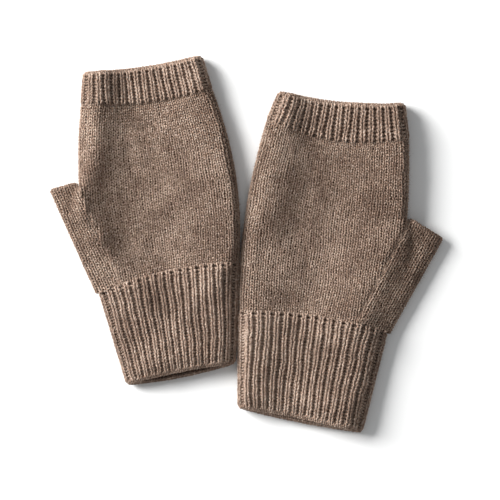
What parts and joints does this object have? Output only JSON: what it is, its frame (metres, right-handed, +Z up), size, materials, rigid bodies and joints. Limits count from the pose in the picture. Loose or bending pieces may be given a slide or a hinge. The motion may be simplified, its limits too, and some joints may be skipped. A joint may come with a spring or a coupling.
{
  "type": "fingerless gloves",
  "caption": "Hand-length knitted fingerless gloves with ribbed finger bands, gusseted short thumbs and long ribbed cuffs, laid flat side by side.",
  "frame": {"origin": "on the surface the gloves lie on, under the middle of the pair", "axes": "+Z up from the surface, +Y from the cuffs to the fingers, +X from the left glove to the right one"},
  "size_m": [0.247, 0.2358, 0.0112],
  "materials": {
    "plain_knit": "heathered plain knit, soft and matt",
    "rib_knit": "heathered one-and-one rib knit, soft and matt",
    "edge_yarn": "worked edge of the same yarn, matt",
    "seam_yarn": "joining seam of the same yarn, matt"
  },
  "bodies": {
    "left_hand": {"left_back_panel": "plain_knit", "left_palm_panel": "plain_knit", "left_side_seam": "seam_yarn", "left_finger_rib": "rib_knit", "left_finger_edge": "edge_yarn"},
    "left_cuff": {"left_cuff_rib": "rib_knit", "left_cuff_edge": "edge_yarn", "left_cuff_seam": "seam_yarn"},
    "left_thumb": {"left_thumb_gusset": "plain_knit", "left_thumb_stub": "plain_knit", "left_thumb_edge": "edge_yarn"},
    "right_hand": {"right_back_panel": "plain_knit", "right_palm_panel": "plain_knit", "right_side_seam": "seam_yarn", "right_finger_rib": "rib_knit", "right_finger_edge": "edge_yarn"},
    "right_cuff": {"right_cuff_rib": "rib_knit", "right_cuff_edge": "edge_yarn", "right_cuff_seam": "seam_yarn"},
    "right_thumb": {"right_thumb_gusset": "plain_knit", "right_thumb_stub": "plain_knit", "right_thumb_edge": "edge_yarn"}
  },
  "joints": [
    {"name": "pair_spread", "type": "slide", "parent": "left_hand", "child": "right_hand", "axis": [1, 0, 0], "range_m": [0, 0.15]},
    {"name": "left_wrist_fold", "type": "hinge", "parent": "left_hand", "child": "left_cuff", "pos_m": [-0.04538, -0.0214, 0.0115], "axis": [-0.9917, -0.1288, 0], "range_deg": [0, 90]},
    {"name": "left_thumb_fold", "type": "hinge", "parent": "left_hand", "child": "left_thumb", "pos_m": [-0.09683, 0.00852, 0.0115], "axis": [-0.1506, 0.9886, 0], "range_deg": [0, 120]},
    {"name": "right_wrist_fold", "type": "hinge", "parent": "right_hand", "child": "right_cuff", "pos_m": [0.04538, -0.0494, 0.0115], "axis": [-0.9917, 0.1288, 0], "range_deg": [0, 90]},
    {"name": "right_thumb_fold", "type": "hinge", "parent": "right_hand", "child": "right_thumb", "pos_m": [0.09683, -0.01948, 0.0115], "axis": [-0.1506, -0.9886, 0], "range_deg": [0, 120]}
  ]
}
